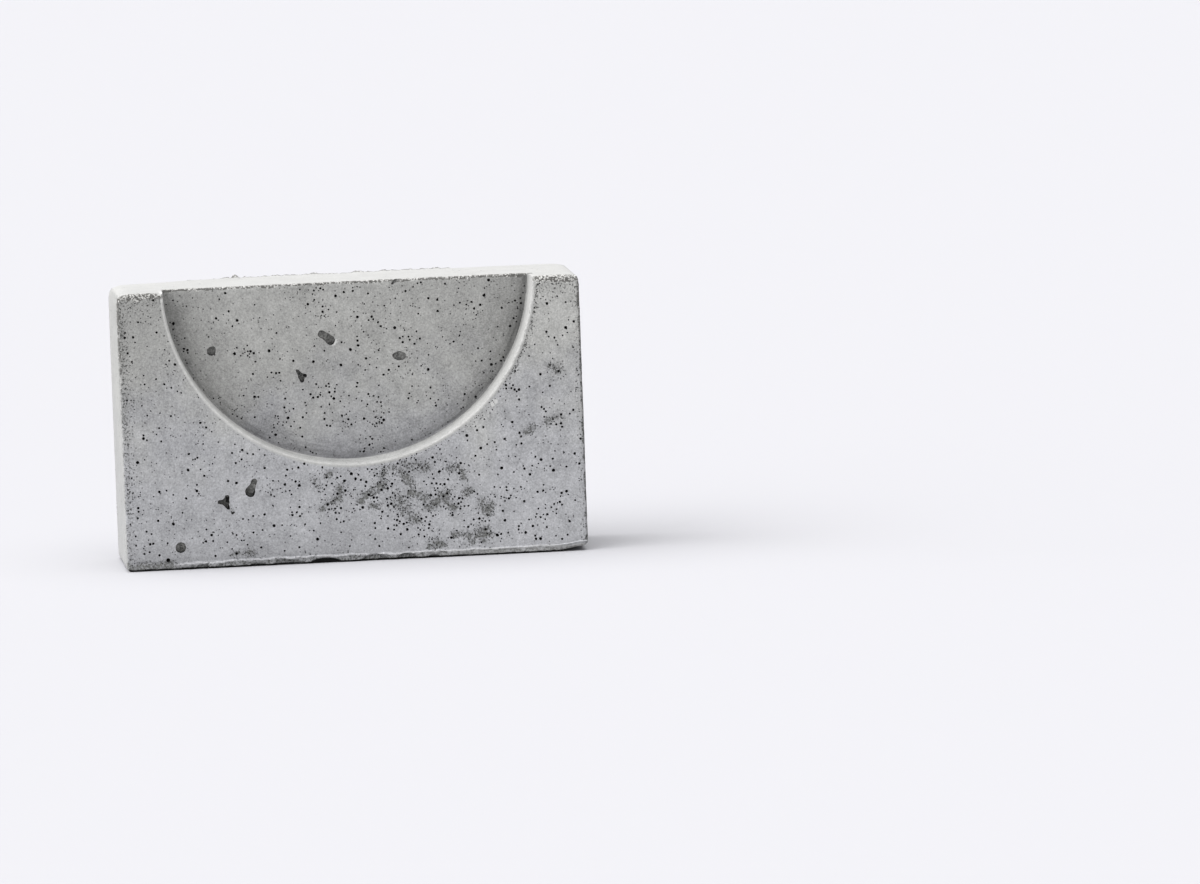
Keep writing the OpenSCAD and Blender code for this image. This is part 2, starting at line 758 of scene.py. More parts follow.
    def edge_wear(self, points: Array) -> Array:
        """How far the skin is missing beside the front's edges.

        Args:
            points: Places, N by 3.

        Returns:
            N shares from 0 to 1.
        """
        x, _, z = points.T
        left = smooth_step(-self.half + 10.0, -self.half + 2.0, x)
        left *= 0.41 + 0.14 * smooth_step(20.0, 110.0, z)
        right = 0.36 * smooth_step(self.half - 6.0, self.half - 2.0, x)
        right += 0.5 * smooth_step(self.half - 1.4, self.half - 0.5, x)
        below_top = 0.48 * smooth_step(self.top - 14.0, self.top - 3.0, z)
        outside = self.from_axis(points) - self.pocket.rim_radius
        beside_rim = 0.6 * smooth_step(4.6, 1.0, outside) * (outside > -0.4)
        beside_rim *= smooth_step(40.0, 90.0, x) * smooth_step(70.0, 100.0, z)
        foot = 0.8 * smooth_step(6.5, 3.4, z) * smooth_step(-92.0, -101.0, x)
        ledge = 0.62 * smooth_step(-0.4, -1.4, z - self.skirt.height(x))
        return np.max([left, right, below_top, beside_rim, foot, ledge], axis=0)

    def lifted_corner(self, points: Array) -> Array:
        """Says how far the foot of the front's right corner is worn up."""
        near = smooth_step(self.half - 22.0, self.half, points[:, 0])
        return 2.7 * near * self.at_front(points, 34.0, 4.0) * smooth_step(9.0, 0.0, points[:, 2])

    def rounding(self, points: Array) -> Array:
        """How far the top's ends, back corners and horn tips are rubbed off.

        Args:
            points: Places, N by 3.

        Returns:
            N depths.
        """
        x, y, z = points.T
        away = self.half - np.abs(x) + self.top - z
        corner = 1.1 * smooth_step(11.0, 4.0, away + self.back - y)
        arris = np.where(x < 0, 0.8, 0.35) * smooth_step(6.4, 1.7, away)
        beside = np.abs(self.from_axis(points) - self.pocket.rim_radius)
        tip = smooth_step(6.0, 1.2, beside + self.top - z + y - self.front)
        return arris + corner + np.where(x < 0, 1.3, 0.5) * tip

    def fin(self, points: Array) -> Array:
        """Says how far the burr stands up at each point."""
        return self.burr.height(points - np.array([0.0, self.back, self.top]))

    def sag(self, points: Array) -> Array:
        """Says how low the top lies towards its left back corner."""
        left = smooth_step(-60.0, -self.half, points[:, 0])
        return 0.9 * left * smooth_step(0.0, self.back, points[:, 1])

    def droop(self, points: Array) -> Array:
        """Says how far each point sinks so that the top sags at its corner."""
        return self.sag(points) * smooth_step(self.top - 3.6, self.top - 1.4, points[:, 2])

    def sandy(self, points: Array) -> Array:
        """How sandy and open the surface is.

        Args:
            points: Places, N by 3.

        Returns:
            N shares, highest where the front and the pocket floor meet the top.
        """
        x, y, z = points.T
        ragged = 1.1 * lattice_noise(points, 4.0, 14) + 0.7 * lattice_noise(points, 1.7, 15)
        below = smooth_step(self.top - 4.4, self.top - 2.4, z + ragged)
        left = smooth_step(-self.half + 2.4, -self.half + 0.8, x + ragged)
        left *= smooth_step(80.0, 125.0, z)
        right = smooth_step(self.half - 2.6, self.half - 0.8, x + ragged)
        right *= smooth_step(110.0, 138.0, z)
        horns = np.maximum(below, 0.6 * np.maximum(left, right)) * self.at_front(points, 3.0, 1.2)
        lip = smooth_step(self.top - 1.9, self.top - 0.9, z + 0.8 * ragged)
        lip *= np.abs(y - self.floor) < 2.2
        lip *= self.from_axis(points) < self.pocket.root_radius - 0.5
        burr = smooth_step(0.1, 0.45, self.fin(points))
        return np.max([horns, lip, burr], axis=0)

    def crumble(self, points: Array) -> Array:
        """How far the arrises have broken back.

        Args:
            points: Places, N by 3.

        Returns:
            N depths.
        """
        outer = smooth_step(3.0, 0.5, self.outer_distance(points))
        coarse = np.maximum(lattice_noise(points, 6.0, 11) - 0.25, 0.0)
        middle = np.maximum(lattice_noise(points, 2.2, 12) - 0.1, 0.0)
        grit = lattice_noise(points, 1.05, 13)
        broken = outer * (0.35 * coarse + 0.16 * middle)
        return broken + self.sandy(points) * (0.14 + 0.3 * grit + 0.24 * middle)

    def pale(self, points: Array) -> Array:
        """How pale the surface is: laitance, with painted light on the top, the ends and the
        pocket's wall, and a painted highlight on the rim.

        Args:
            points: Places, N by 3.

        Returns:
            N shares: all on the top, some on the ends, the pocket's wall, its rim and
            the skirt.
        """
        x, y, z = points.T
        sunk = self.sag(points) + 1.1 * self.rounding(points)
        # Laitance on the top, which also stands for part of the overhead light.
        top = smooth_step(self.top - 0.9, self.top - 0.3, z + sunk)
        # Painted light: the left end, which faces the left lamp, more than the right end.
        ends = 0.72 * smooth_step(-self.half + 0.9, -self.half + 0.3, x)
        ends += 0.45 * smooth_step(self.half - 0.35, self.half - 0.15, x)
        radial = self.from_axis(points)
        # Painted light on the pocket's wall, more towards its sides.
        wall = smooth_step(-0.3, 0.2, radial - self.pocket.root_radius)
        wall *= smooth_step(self.floor - 0.3, self.floor - 1.0, y)
        wall *= radial < self.pocket.rim_radius + 0.3
        wall *= (0.1 + 0.7 * np.abs(x) / self.pocket.rim_radius) * smooth_step(22.0, 34.0, z)
        # Painted highlight on the rounded rim.
        rim = 0.95 * smooth_step(1.2, 0.5, self.rim_distance(points))
        ledge = (0.12 + 0.36 * smooth_step(10.0, 70.0, x)) * (z < self.skirt.height(x))
        ledge *= self.at_front(points, 2.2, 0.8)
        return np.max([top, ends, wall, rim, ledge], axis=0)


# --- Holes -------------------------------------------------------------------


@dataclass
class CupBatch:
    """Cups that don't touch each other, cut out of the casting in one go."""

    clear: float = 0.45
    points: list[Array] = field(default_factory=list)
    faces: list[list[int]] = field(default_factory=list)
    count: int = 0

    def levels(self, sides: int, depth: float) -> tuple[tuple[float, float], ...]:
        """Gives the heights at which a cup has a ring, and how wide each ring is.

        Args:
            sides: Number of the cup's sides. The more there are, the rounder it is.
            depth: How deep the cup goes.

        Returns:
            Pairs of a height and a share of the outline.
        """
        if sides > 12:
            walls = ((0.0, 1.0), (-0.35, 0.9), (-0.75, 0.66), (-0.95, 0.34))
            return ((self.clear, 1.08), *((height * depth, share) for height, share in walls))
        if sides > 7:
            return ((self.clear, 1.03), (-0.62 * depth, 0.86))
        return ((self.clear, 1.0 + self.clear / depth),)

    def add(self, centre: Array, axes: Array, outline: Array, depth: float) -> None:
        """Adds one cup.

        Args:
            centre: Where the cup's axis meets the surface.
            axes: Rows are the right, the up and the outward direction there.
            outline: Distance of the rim from the axis at even angles.
            depth: How deep the cup goes.
        """
        sides = len(outline)
        angle = np.arange(sides) * (2.0 * math.pi / sides)
        ring = np.stack([np.cos(angle) * outline, np.sin(angle) * outline], axis=1)
        levels = self.levels(sides, depth)
        for height, share in levels:
            self.points.append(centre + (ring * share) @ axes[:2] + height * axes[2])
        self.points.append((centre - depth * axes[2])[None, :])
        start, last = self.count, self.count + len(levels) * sides
        self.faces.append(list(range(start, start + sides)))
        for upper in range(start, last - sides, sides):
            for k in range(sides):
                pair = (upper + (k + 1) % sides, upper + k)
                self.faces.append([*pair, pair[1] + sides, pair[0] + sides])
        for k in range(sides):
            self.faces.append([last - sides + (k + 1) % sides, last - sides + k, last])
        self.count = last + 1

    def mesh(self) -> bpy.types.Mesh:
        """Makes one mesh of all the cups.

        Returns:
            A mesh of closed shells.
        """
        mesh = bpy.data.meshes.new("cups")
        mesh.from_pydata((np.concatenate(self.points) * MM).tolist(), [], self.faces)
        mesh.update()
        return mesh


@dataclass
class Pitting:
    """The air holes of a casting: a few large hollows and very many pores.

    Holes keep the distance between them. Some pores cluster round a seed, as close
    as the crowding says, and their sizes have the spread of a lognormal draw.
    """

    casting: Casting
    seed: int = 7
    between: float = 0.12
    crowding: float = 3.2
    spread: float = 0.25
    seed_share: float = 0.4
    roughness: float = 0.08

    def __post_init__(self) -> None:
        """Starts the random draws and the list of taken places."""
        self.rng = np.random.default_rng(self.seed)
        self.taken: dict[Side, list[Disc]] = {side: [] for side in Side}

    def bore(
        self, batch: CupBatch, side: Side, place: tuple[float, float], radius: float,
        outline: Array, depth: float,
    ) -> None:
        """Adds one hole and notes its place as taken.

        Args:
            batch: Takes the cup.
            side: Which side.
            place: Where on that side, across and up.
            radius: How far round the place no other hole may come.
            outline: Distance of the rim from the place at even angles.
            depth: How deep the hole goes.
        """
        self.taken[side].append((*place, radius))
        batch.add(self.casting.place_on(side, *place), side.axes, outline, depth)

    def uneven(self, sides: int, share: float) -> Array:
        """Draws one factor near 1 for each side of a hole."""
        return 1.0 + share * self.rng.standard_normal(sides)

    def large(self) -> CupBatch:
        """Bores the large hollows.

        Returns:
            Their cups.
        """
        batch = CupBatch()
        for hollow in LARGE_HOLLOWS:
            outline = hollow.outline() * self.uneven(HOLLOW_SIDES, 0.02)
            place = (hollow.across, hollow.up)
            reach = float(outline.max()) + 0.5
            self.bore(batch, hollow.side, place, reach, outline, hollow.depth)
        return batch

    def is_free(self, side: Side, across: float, up: float, radius: float) -> bool:
        """Says whether a pore keeps its distance from every other hole.

        Args:
            side: Which side.
            across: To the right of the block's middle, seen from outside.
            up: Height above the floor, or depth on the top and the underside.
            radius: The pore's radius.

        Returns:
            Whether it may be there.
        """
        return all(
            (across - x) ** 2 + (up - z) ** 2 >= (radius + other + self.between) ** 2
            for x, z, other in self.taken[side]
        )

    def is_clear(self, side: Side, across: float, up: float, radius: float) -> bool:
        """Says whether a pore lies on its side, clear of the arrises.

        Args:
            side: Which side.
            across: To the right of the block's middle, seen from outside.
            up: Height above the floor, or depth on the top and the underside.
            radius: The pore's radius.

        Returns:
            Whether it may be there.
        """
        cast, margin = self.casting, 1.3 + radius
        if side.is_level:
            behind_pocket = up > cast.floor + margin
            if side is Side.TOP and abs(across) < cast.pocket.rim_radius + 2.0 and not behind_pocket:
                return False
            return abs(across) < cast.half - margin and abs(up) < cast.back - margin
        width = cast.back if side.is_end else cast.half
        foot = 5.6 if side is Side.FRONT and across > -98.0 else 2.5
        if not (abs(across) < width - margin and foot + radius < up < cast.top - margin):
            return False
        radial = math.hypot(across, up - cast.axis_z)
        if side is Side.FRONT:
            return radial > cast.pocket.rim_radius + 0.4 + radius
        return side is not Side.POCKET_FLOOR or radial < cast.pocket.root_radius - 0.7 - radius

    def share(self, side: Side, across: float, up: float) -> float:
        """How likely a pore is, compared with the most crowded place.

        Args:
            side: Which side.
            across: To the right of the block's middle, seen from outside.
            up: Height above the floor.

        Returns:
            A share up to 1.
        """
        if side is Side.FRONT:
            low = 1.0 / (1.0 + math.exp((up - 72.0) / 16.0))
            middle = math.exp(-(((across - 35.0) / 75.0) ** 2))
            upright = 0.26 if across > 60.0 else 0.12
            return 0.34 + 0.66 * max(low * middle, upright)
        if side is Side.POCKET_FLOOR:
            return 0.5 + 0.5 * math.exp(-(((across + 5.0) / 40.0) ** 2))
        return 1.0

    def scatter(self, pores: PoreField, batch: CupBatch) -> None:
        """Adds pores to one flat side, some of them in clusters.

        Args:
            pores: Which side, how many places to try, and how big the pores are.
            batch: Takes the cups.
        """
        cast, rng, side = self.casting, self.rng, pores.side
        wide = cast.back if side.is_end else cast.half
        low, high = (-cast.back, cast.back) if side.is_level else (0.0, cast.top)
        seeds: list[tuple[float, float]] = []
        for _ in range(pores.tries):
            clustered = bool(seeds) and rng.random() < pores.cluster
            if clustered:
                near = seeds[int(rng.integers(len(seeds)))]
                across = near[0] + rng.normal(0.0, self.crowding)
                up = near[1] + rng.normal(0.0, self.crowding)
            else:
                across = rng.uniform(-wide, wide)
                up = rng.uniform(low, high)
            radius = pores.radius * float(np.clip(rng.lognormal(0.0, self.spread), 0.68, 1.5))
            radius *= 0.84 if clustered else 1.0
            if rng.random() > self.share(side, across, up):
                continue
            if not self.is_clear(side, across, up, radius):
                continue
            if not self.is_free(side, across, up, radius):
                continue
            if not clustered and rng.random() < self.seed_share:
                seeds.append((across, up))
            sides = 6 + int(radius >= 0.48) + int(radius >= 0.66)
            outline = radius * self.uneven(sides, self.roughness)
            depth = radius * rng.uniform(1.6, 2.6)
            self.bore(batch, side, (across, up), radius, outline, depth)

    def ring(self, side: Side, batch: CupBatch) -> None:
        """Adds the pores that line the pocket's rim, or its root.

        Args:
            side: The front for the rim, the pocket floor for the root.
            batch: Takes the cups.
        """
        cast, rng = self.casting, self.rng
        outside = side is Side.FRONT
        for _ in range(150 if outside else 46):
            turn = math.radians(rng.uniform(2.0, 178.0))
            if outside and rng.random() < 0.75:
                turn = math.radians(rng.uniform(2.0, 75.0))
            radius = rng.uniform(0.22, 0.42 if outside else 0.62)
            away = rng.gamma(1.6, 0.7)
            distance = cast.pocket.rim_radius + 0.5 + radius + away
            if not outside:
                distance = cast.pocket.root_radius - 0.8 - radius - 1.6 * away
            across = distance * math.cos(turn)
            up = cast.axis_z - distance * math.sin(turn)
            if up > cast.top - 3.0 or not self.is_free(side, across, up, radius):
                continue
            outline = radius * self.uneven(6, self.roughness)
            self.bore(batch, side, (across, up), radius, outline, 2.0 * radius)

    def pores(self) -> CupBatch:
        """Bores the small pores of every side.

        Returns:
            Their cups.
        """
        batch = CupBatch()
        self.ring(Side.FRONT, batch)
        self.ring(Side.POCKET_FLOOR, batch)
        for pores in PORE_FIELDS:
            self.scatter(pores, batch)
        for side, places in self.taken.items():
            log.info("holes, %s: %d", side.title, len(places))
        return batch


# --- Shader maths ------------------------------------------------------------


class Signal:
    """A shader socket that can be used in arithmetic."""

    def __init__(self, graph: "Graph", socket: bpy.types.NodeSocket | None) -> None:
        """Wraps one output socket."""
        self.graph = graph
        self.socket = socket

    def output(self, name: str | int) -> "Signal":
        """Gives another output of the same node."""
        return Signal(self.graph, self.socket.node.outputs[name])

    def math(self, operation: str, *values: Any) -> "Signal":
        """Adds a Math node for the operation on the values."""
        inputs = dict(enumerate(values))
        return self.graph.node("ShaderNodeMath", {"operation": operation}, inputs)

    def __add__(self, other: Any) -> "Signal":
        """Adds."""
        return self.math("ADD", self, other)

    __radd__ = __add__

    def __sub__(self, other: Any) -> "Signal":
        """Subtracts."""
        return self.math("SUBTRACT", self, other)

    def __rsub__(self, other: Any) -> "Signal":
        """Subtracts from a number."""
        return self.math("SUBTRACT", other, self)

    def __mul__(self, other: Any) -> "Signal":
        """Multiplies."""
        return self.math("MULTIPLY", self, other)

    __rmul__ = __mul__

    def __truediv__(self, other: Any) -> "Signal":
        """Divides."""
        return self.math("DIVIDE", self, other)

    def __rtruediv__(self, other: Any) -> "Signal":
        """Divides a number."""
        return self.math("DIVIDE", other, self)

    def lesser(self, other: Any) -> "Signal":
        """Gives the lesser of two values."""
        return self.math("MINIMUM", self, other)

    def greater(self, other: Any) -> "Signal":
        """Gives the greater of two values."""
        return self.math("MAXIMUM", self, other)

    def clamped(self) -> "Signal":
        """Keeps the value between 0 and 1."""
        return self.lesser(1.0).greater(0.0)

    def fading(self, length: float) -> "Signal":
        """Falls from 1 at zero, by the factor e over each length."""
        return self.math("EXPONENT", self.greater(0.0) * (-1.0 / length))

    def eased(self, low: float, high: float) -> "Signal":
        """Eases from 0 at low to 1 at high."""
        values = {"Value": self, "From Min": low, "From Max": high}
        return self.graph.node("ShaderNodeMapRange", {"interpolation_type": "SMOOTHSTEP"}, values)


class Graph:
    """Builds a material's nodes."""

    def __init__(self, tree: bpy.types.NodeTree) -> None:
        """Starts with an empty tree."""
        self.tree = tree
        tree.nodes.clear()

    def node(
        self,
        kind: str,
        settings: dict[str, Any] | None = None,
        inputs: dict[str | int, Any] | None = None,
        output: str | int = 0,
    ) -> Signal:
        """Adds one node.

        Args:
            kind: The node's type.
            settings: Its properties, which are set first.
            inputs: Values or signals of its sockets, by name or number.
            output: Which output to give.

        Returns:
            The chosen output.
        """
        made = self.tree.nodes.new(kind)
        for name, value in (settings or {}).items():
            setattr(made, name, value)
        for key, value in (inputs or {}).items():
            if isinstance(value, Signal):
                self.tree.links.new(value.socket, made.inputs[key])
            else:
                made.inputs[key].default_value = value
        return Signal(self, made.outputs[output] if made.outputs else None)

    def vector(self, operation: str, *values: Any, output: str = "Vector") -> Signal:
        """Adds a Vector Math node for the operation on the values."""
        inputs = dict(enumerate(values))
        return self.node("ShaderNodeVectorMath", {"operation": operation}, inputs, output)

    def noise(self, place: Signal, cell: float, detail: float, rough: float) -> Signal:
        """Adds noise between 0 and 1, with cells of the given size."""
        inputs = {"Vector": place, "Scale": 1.0 / cell, "Detail": detail, "Roughness": rough}
        return self.node("ShaderNodeTexNoise", {"noise_dimensions": "3D"}, inputs)

    def cells(self, place: Signal, size: float) -> tuple[Signal, Signal]:
        """Adds irregular cells.

        Args:
            place: Where to look them up.
            size: How big they are.

        Returns:
            The distance from the cell's middle, and the cell's own lot from 0 to 1.
        """
        inputs = {"Vector": place, "Scale": 1.0 / size}
        away = self.node("ShaderNodeTexVoronoi", {"feature": "F1"}, inputs, "Distance")
        return away, self.node("ShaderNodeSeparateColor", inputs={0: away.output("Color")})

    def attribute(self, name: str) -> tuple[Signal, Signal, Signal]:
        """Reads a colour attribute of the mesh.

        Args:
            name: The attribute's name.

        Returns:
            Its red, its green and its blue part.
        """
        settings = {"attribute_name": name, "attribute_type": "GEOMETRY"}
        colour = self.node("ShaderNodeAttribute", settings, output="Color")
        red = self.node("ShaderNodeSeparateColor", inputs={0: colour})
        return red, red.output(1), red.output(2)

    def blend(self, share: Any, first: Any, second: Any, **settings: Any) -> Signal:
        """Adds a Mix node that goes from the first colour to the second."""
        inputs = {MIX_FACTOR: share, MIX_FIRST: first, MIX_SECOND: second}
        return self.node("ShaderNodeMix", {"data_type": "RGBA", **settings}, inputs, MIX_RESULT)

    def dimmed(self, colour: Any, share: Signal, low: float = 0.0, high: float = 1.0) -> Signal:
        """Multiplies a colour by a grey that follows a share.

        Args:
            colour: The colour.
            share: Picks the grey. It isn't held between 0 and 1.
            low: The grey at a share of 0.
            high: The grey at a share of 1.

        Returns:
            The product.
        """
        greys = [(grey, grey, grey, 1.0) for grey in (low, high)]
        grey = self.blend(share, *greys, clamp_factor=False)
        return self.blend(1.0, colour, grey, blend_type="MULTIPLY")

    def finish(self, **inputs: Any) -> None:
        """Ends a material in a Principled shader, whose sockets' names are given with _."""
        values = {name.replace("_", " "): value for name, value in inputs.items()}
        shader = self.node("ShaderNodeBsdfPrincipled", inputs=values)
        self.node("ShaderNodeOutputMaterial", inputs={"Surface": shader})


class Spot:
    """Where a point of the surface is, and the noises found there."""

    def __init__(self, g: Graph, casting: Casting) -> None:
        """Reads the object's own coordinates and adds the noises.

        Args:
            g: The graph to build in.
            casting: Says where the pocket's axis is.
        """
        self.g = g
        self.pocket = casting.pocket
        self.floor = casting.floor
        place = g.node("ShaderNodeTexCoord", output="Object")
        self.place = g.vector("MULTIPLY", place, (1.0 / MM, 1.0 / MM, 1.0 / MM))
        self.across = g.node("ShaderNodeSeparateXYZ", inputs={0: self.place})
        self.inward = self.across.output(1)
        self.height = self.across.output(2)
        self.from_middle = self.across.math("ABSOLUTE", self.across)
        self.drop = self.height - casting.axis_z
        self.radial = self.across.math(
            "SQRT", self.across * self.across + self.drop * self.drop
        )
        self.clouds = self.noise(38.0, 3.0, 0.55, 0.0)
        self.drift = self.noise(9.0, 4.0, 0.62, 70.0)
        self.mottle = self.noise(2.6, 3.0, 0.6, 11.0)
        self.sand = self.noise(1.0, 3.0, 0.75, 23.0)
        self.speckle = self.noise(1.25, 3.0, 0.75, 31.0)

    def noise(self, cell: float, detail: float, rough: float, shift: float) -> Signal:
        """Adds noise between 0 and 1 that is moved by a shift."""
        moved = self.g.vector("ADD", self.place, (shift, 0.4 * shift, 1.7 * shift))
        return self.g.noise(moved, cell, detail, rough)

    def near(self, spot: tuple[float, float, float]) -> Signal:
        """Gives the distance from a fixed spot."""
        return self.g.vector("DISTANCE", self.place, spot, output="Value")

    def on_front(self) -> Signal:
        """Gives 1 on the front and 0 further in."""
        return self.inward.eased(-30.0, -33.0)

    def on_wall(self) -> Signal:
        """Finds the pocket's wall and its rim.

        Returns:
            1 there and 0 elsewhere.
        """
        past_root = (self.radial - self.pocket.root_radius).eased(-0.4, 0.2)
        before_rim = (self.pocket.rim_radius - self.radial).eased(-0.9, -0.3)
        return past_root * before_rim * self.inward.eased(self.floor + 0.3, self.floor - 0.5)


# --- The concrete ------------------------------------------------------------


@dataclass(frozen=True)
class ConcreteFinish:
    """Grey cast concrete: cloudy cement skin, bare sand at worn places."""

    skin_cool: Colour = (0.392, 0.395, 0.412, 1.0)
    skin_warm: Colour = (0.392, 0.392, 0.382, 1.0)
    contrast: float = 0.5
    torn: Colour = (0.128, 0.130, 0.125, 1.0)
    sand_light: Colour = (0.64, 0.635, 0.615, 1.0)
    sand_dark: Colour = (0.09, 0.087, 0.08, 1.0)
    rust: Colour = (0.27, 0.17, 0.13, 1.0)
    # Darker than the skin, partly the bared ground and partly painted shade in the hollow.
    hollow: Colour = (0.196, 0.196, 0.190, 1.0)
    scuff: Colour = (0.66, 0.66, 0.65, 1.0)
    # Near black: painted shade inside the pores, in the deepest chip and along the foot.
    pore: Colour = (0.012, 0.012, 0.012, 1.0)
    # Pale laitance, also used for painted light on the top, the ends, the pocket's wall and the rim.
    laitance_and_light: Colour = (0.458, 0.457, 0.448, 1.0)
    roughness: float = 0.86

    def material(self, casting: Casting) -> bpy.types.Material:
        """Builds the concrete's material.

        Args:
            casting: Says where the pocket is.

        Returns:
            A node material that reads the mesh's marks and its own place.
        """
        made = bpy.data.materials.new("cast_concrete")
        made.use_nodes = True
        g = Graph(made.node_tree)
        spot = Spot(g, casting)
        pore, hollow, _ = g.attribute(CUTS)
        # The pale share carries laitance and painted light.
        bare, opened, pale = g.attribute(TONES)
        mottle, speckle = spot.mottle - 0.5, spot.speckle - 0.5

        tone = (spot.clouds - 0.5) * 0.5 + (spot.drift - 0.5) * 0.62 + mottle * 0.42
        tone = (tone + (spot.sand - 0.5) * 1.45 + 0.5).clamped()
        torn = (opened * 0.88 + speckle * 3.2 + mottle * 0.6).eased(0.54, 0.76)
        cloud = (opened + mottle * 0.9 + speckle * 0.9).eased(0.2, 1.0)
        skin = self.skin(spot, tone)
        torn_ground = g.dimmed(self.torn, spot.speckle.eased(0.42, 0.68), 1.7, 0.3)
        surface = g.blend(torn * 0.88, g.dimmed(skin, cloud, 1.0, 0.7), torn_ground)
        surface = self.with_sand(spot, surface, skin, bare)
        # Painted shade of the finest pores.
        dot = self.dots(spot, opened) * (1.0 - pale) * (1.0 - bare)
        surface = g.blend(dot * 0.9, surface, self.pore)
        # Laitance and painted light where the pale mark says, with a painted highlight on the rim.
        surface = g.blend(pale * 0.92, surface, self.laitance_with_painted_light(spot, tone))
        surface = g.blend(self.scuffs(spot), surface, self.scuff)
        # Large hollows, darkened by the painted shade that the mark carries.
        surface = g.blend(hollow.eased(0.1, 0.7), surface, self.hollow_ground(spot, hollow))
        # Painted shade: the faces inside cut pores and pits are near black.
        surface = g.blend(pore, surface, self.pore)
        # Painted contact shadow: the colour turns black along the foot, a little higher on the
        # front.
        foot = (spot.height + mottle * 1.2 - spot.on_front() * 0.45).eased(0.8, 0.5)
        surface = g.blend(foot, surface, self.pore)

        relief = (spot.sand - 0.5) * 0.07 + mottle * 0.08 - dot * 0.2
        relief = relief - torn * spot.speckle * 0.35 - bare * spot.sand * 0.2
        bump = g.node("ShaderNodeBump", inputs={"Strength": 0.8, "Distance": MM, "Height": relief})
        shine = self.roughness + mottle * 0.12
        g.finish(Base_Color=surface, Roughness=shine, Normal=bump, Specular_IOR_Level=0.25)
        return made

    def skin(self, spot: Spot, tone: Signal) -> Signal:
        """Gives the colour of whole cement skin, cooler low down, grimy in places, with painted
        shade in the pocket and over the skirt.

        Args:
            spot: Where the point is.
            tone: How light the skin is, from 0 to 1.

        Returns:
            The skin's colour.
        """
        cool = (spot.height + (spot.clouds - 0.5) * 160.0).eased(125.0, 40.0)
        cool = cool * (1.0 - spot.on_wall() * 0.9)
        skin = spot.g.blend(cool, self.skin_warm, self.skin_cool)
        skin = spot.g.dimmed(skin, tone, 1.0 - self.contrast, 1.0 + self.contrast)
        on_front = spot.on_front()
        # Painted shade of the pocket and of the crease over the skirt, with grime on the front.
        darkening = self.pocket_painted_shade(spot) + self.front_shade_and_grime(spot) * on_front
        return spot.g.dimmed(skin, 1.0 - darkening)

    def pocket_painted_shade(self, spot: Spot) -> Signal:
        """How much painted shade lies on the pocket's floor, most of all beside its wall, with
        streaks along the wall.

        Args:
            spot: Where the point is.

        Returns:
            A share of the colour that the painted shade takes.
        """
        g, across, inward, floor = spot.g, spot.across, spot.inward, spot.floor
        gap = spot.pocket.root_radius - spot.radial
        in_pocket = inward.eased(floor - 1.2, floor - 0.4) * inward.eased(floor + 1.4, floor + 0.8)
        side = (spot.from_middle / 95.0).eased(0.3, 1.0)
        near = 0.42 + side * (across.eased(-60.0, 60.0) * 0.2 - 0.17)
        broad = 0.08 + side * (0.05 + across.eased(-30.0, 60.0) * 0.13)
        # Painted shade: dark close to the wall's root, fainter across the floor.
        darkening = gap.fading(5.5) * near * (0.7 + spot.drift * 0.6) + gap.fading(24.0) * broad
        turn = across.math("ARCTAN2", across, spot.drop) * 9.0
        polar = g.node("ShaderNodeCombineXYZ", {}, {0: spot.radial, 1: turn, 2: inward})
        streaks = (g.noise(polar, 1.5, 2.0, 0.5) - 0.5) * gap.fading(15.0) * 0.62
        # The whole pocket floor also gets a little painted shade.
        return (darkening + streaks + 0.055) * in_pocket * gap.eased(-0.8, -0.2)

    def front_shade_and_grime(self, spot: Spot) -> Signal:
        """How dark the front is: painted shade in the crease over the skirt, grime on a horn, and
        lighter at the right and under the rim.

        Args:
            spot: Where the point is.

        Returns:
            A share of the colour taken away, below 0 where the front is lighter.
        """
        across, drift = spot.across, spot.drift
        # Painted shade in the crease just over the skirt, on its left part.
        above = spot.height - 4.6
        over_skirt_shade = (drift - 0.3).clamped() * (across + 25.0).eased(70.0, 10.0)
        over_skirt_shade = over_skirt_shade * spot.from_middle.eased(124.6, 124.0) * 1.1
        horn = (across - (drift - 0.5) * 60.0).eased(-90.0, -112.0)
        under_rim = (spot.radial - spot.pocket.rim_radius).fading(14.0)
        darkening = above.fading(2.4) * above.eased(-0.3, 0.3) * over_skirt_shade
        darkening = darkening + horn * spot.height.eased(70.0, 125.0) * drift * 0.2
        darkening = darkening - across.eased(50.0, 95.0) * 0.07
        return darkening - under_rim * across.eased(-90.0, -60.0) * 0.06

    def laitance_with_painted_light(self, spot: Spot, tone: Signal) -> Signal:
        """Gives the colour of laitance, grainy, with painted light and shade on the pocket's wall:
        darker at its root, lighter towards the rim.

        Args:
            spot: Where the point is.
            tone: How light the cement is, from 0 to 1.

        Returns:
            The colour of laitance, with the painted light and shade of the wall.
        """
        across, inward, mottle = spot.across, spot.inward, spot.mottle - 0.5
        wall_light_and_grain = inward.eased(-18.5, -31.0) * 0.2 - 0.12
        wall_light_and_grain = wall_light_and_grain + (spot.speckle - 0.5) * 0.5 + mottle * 0.3
        # Painted shade at the wall's root, and on its deeper part at the right.
        root = (inward + mottle * 2.2).eased(-17.5, -16.5)
        wall_light_and_grain = wall_light_and_grain - root * spot.from_middle.eased(90.0, 50.0) * 0.3
        wall_light_and_grain = wall_light_and_grain - inward.eased(-24.0, -16.5) * across.eased(0.0, 60.0) * 0.5
        wall_light_and_grain = wall_light_and_grain + across.eased(-20.0, -80.0) * 0.16
        wall_light_and_grain = wall_light_and_grain - spot.from_middle.eased(70.0, 30.0) * 0.1
        white = spot.g.dimmed(self.laitance_and_light, tone, 0.88, 1.12)
        return spot.g.dimmed(white, 1.0 + wall_light_and_grain * spot.on_wall())

